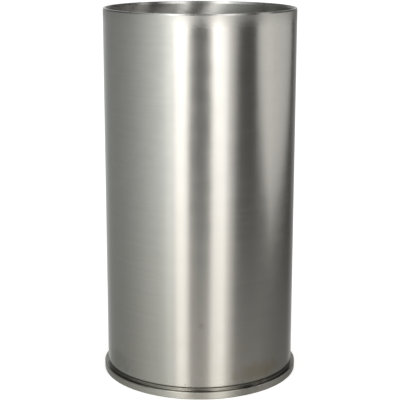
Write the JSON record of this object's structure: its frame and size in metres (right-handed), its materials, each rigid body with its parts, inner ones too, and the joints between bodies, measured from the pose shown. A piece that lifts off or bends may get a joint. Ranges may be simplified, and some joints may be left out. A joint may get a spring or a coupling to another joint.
{
  "type": "cylinder liner",
  "caption": "Thin-walled flanged dry cylinder liner for a diesel engine, with a honed bore, a ground barrel, a relief groove beside the flange and a lead-in taper on the skirt end.",
  "frame": {"origin": "centre of the flange's gasket face, on which the liner stands with its skirt end up", "axes": "+Z along the bore axis from the flange towards the skirt end; the liner is a body of revolution, so +X and +Y are any two directions square to it"},
  "size_m": [0.1097, 0.1096, 0.2053],
  "materials": {
    "liner_iron": "machined all over: finely ground barrel, honed bore, turned flange"
  },
  "bodies": {
    "root": {"cylinder_liner": "liner_iron"}
  },
  "joints": []
}
